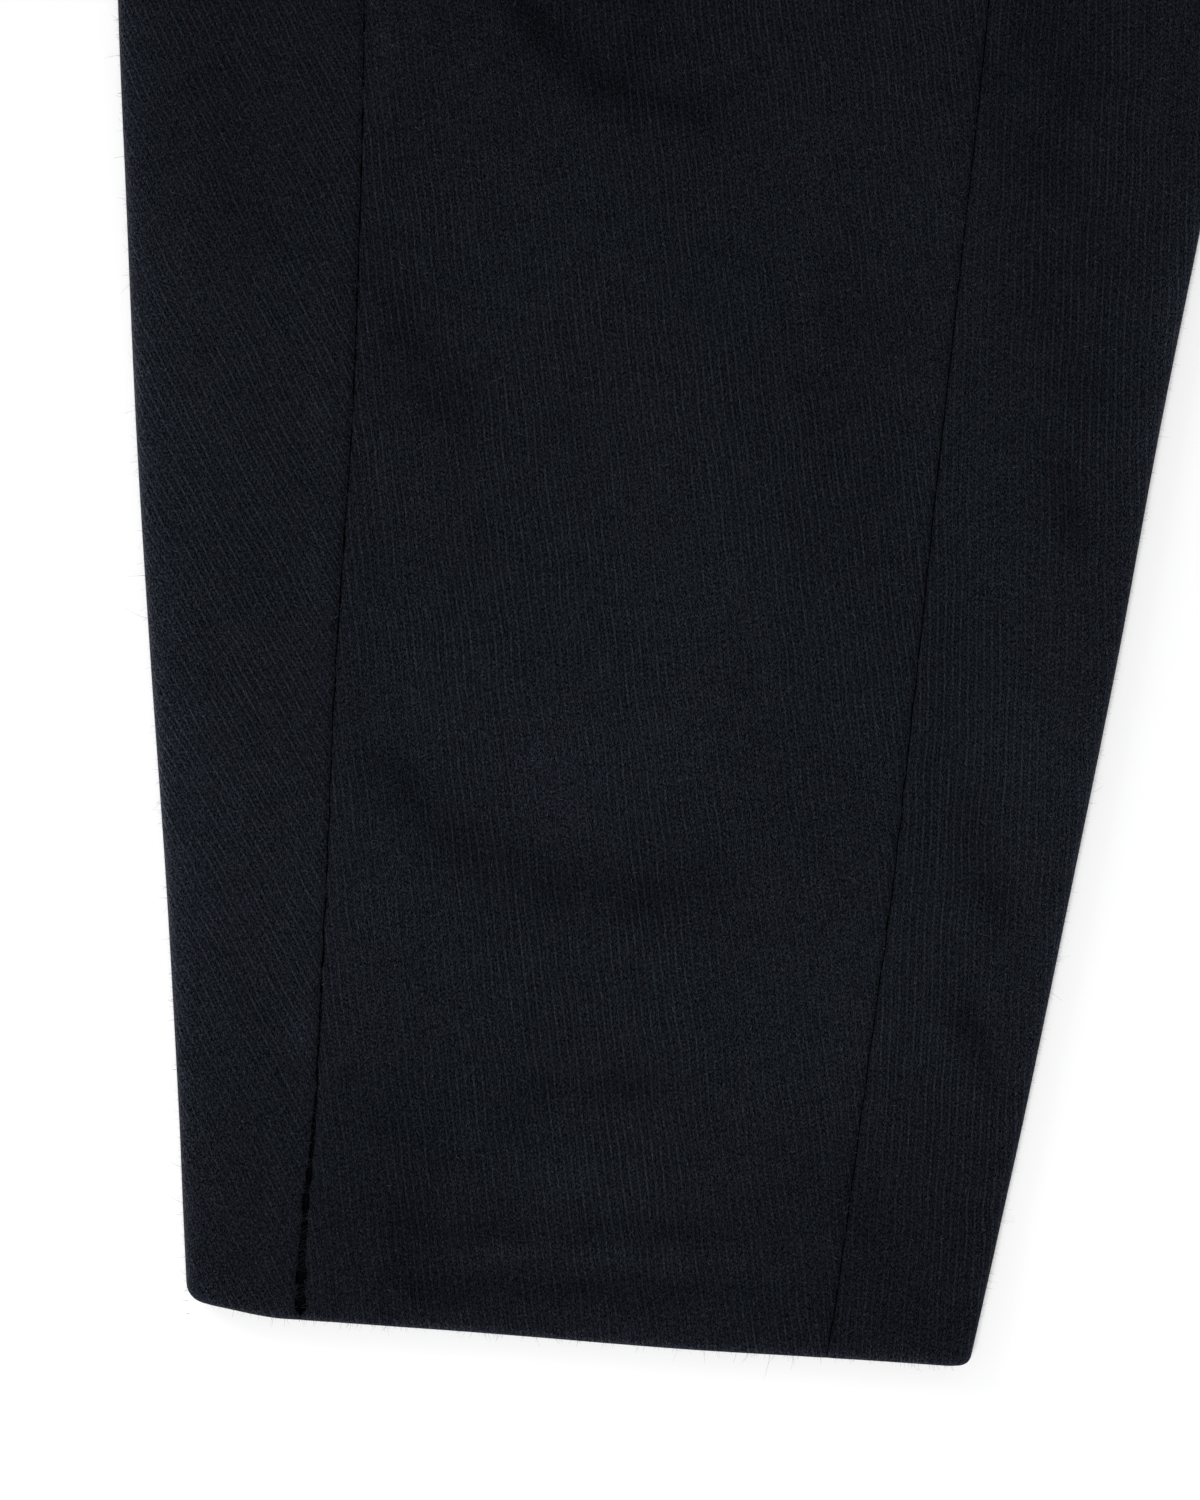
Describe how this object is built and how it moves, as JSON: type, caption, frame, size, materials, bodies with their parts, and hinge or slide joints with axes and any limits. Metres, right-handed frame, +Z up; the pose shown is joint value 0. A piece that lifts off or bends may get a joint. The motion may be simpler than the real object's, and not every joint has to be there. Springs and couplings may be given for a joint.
{
  "type": "slacks",
  "caption": "Tapered midnight navy wool twill slacks lying flat, front up, with forward-set leg seams, a thread-barred slit at each hem, a plain waistband, button and zip fly.",
  "frame": {"origin": "under the middle of the garment's box, on the surface that it lies on", "axes": "+Z up out of the garment's front, +Y from the hems to the waist, +X towards the wearer's left leg"},
  "size_m": [0.6588, 1.0194, 0.011],
  "materials": {
    "wool_twill": "brushed matt",
    "zip_tape": "woven",
    "button_resin": "polished horn look"
  },
  "bodies": {
    "root": {"front_right": "wool_twill", "front_left": "wool_twill", "back_right": "wool_twill", "back_left": "wool_twill", "waistband": "wool_twill", "zip": "zip_tape", "button": "button_resin"}
  },
  "joints": []
}
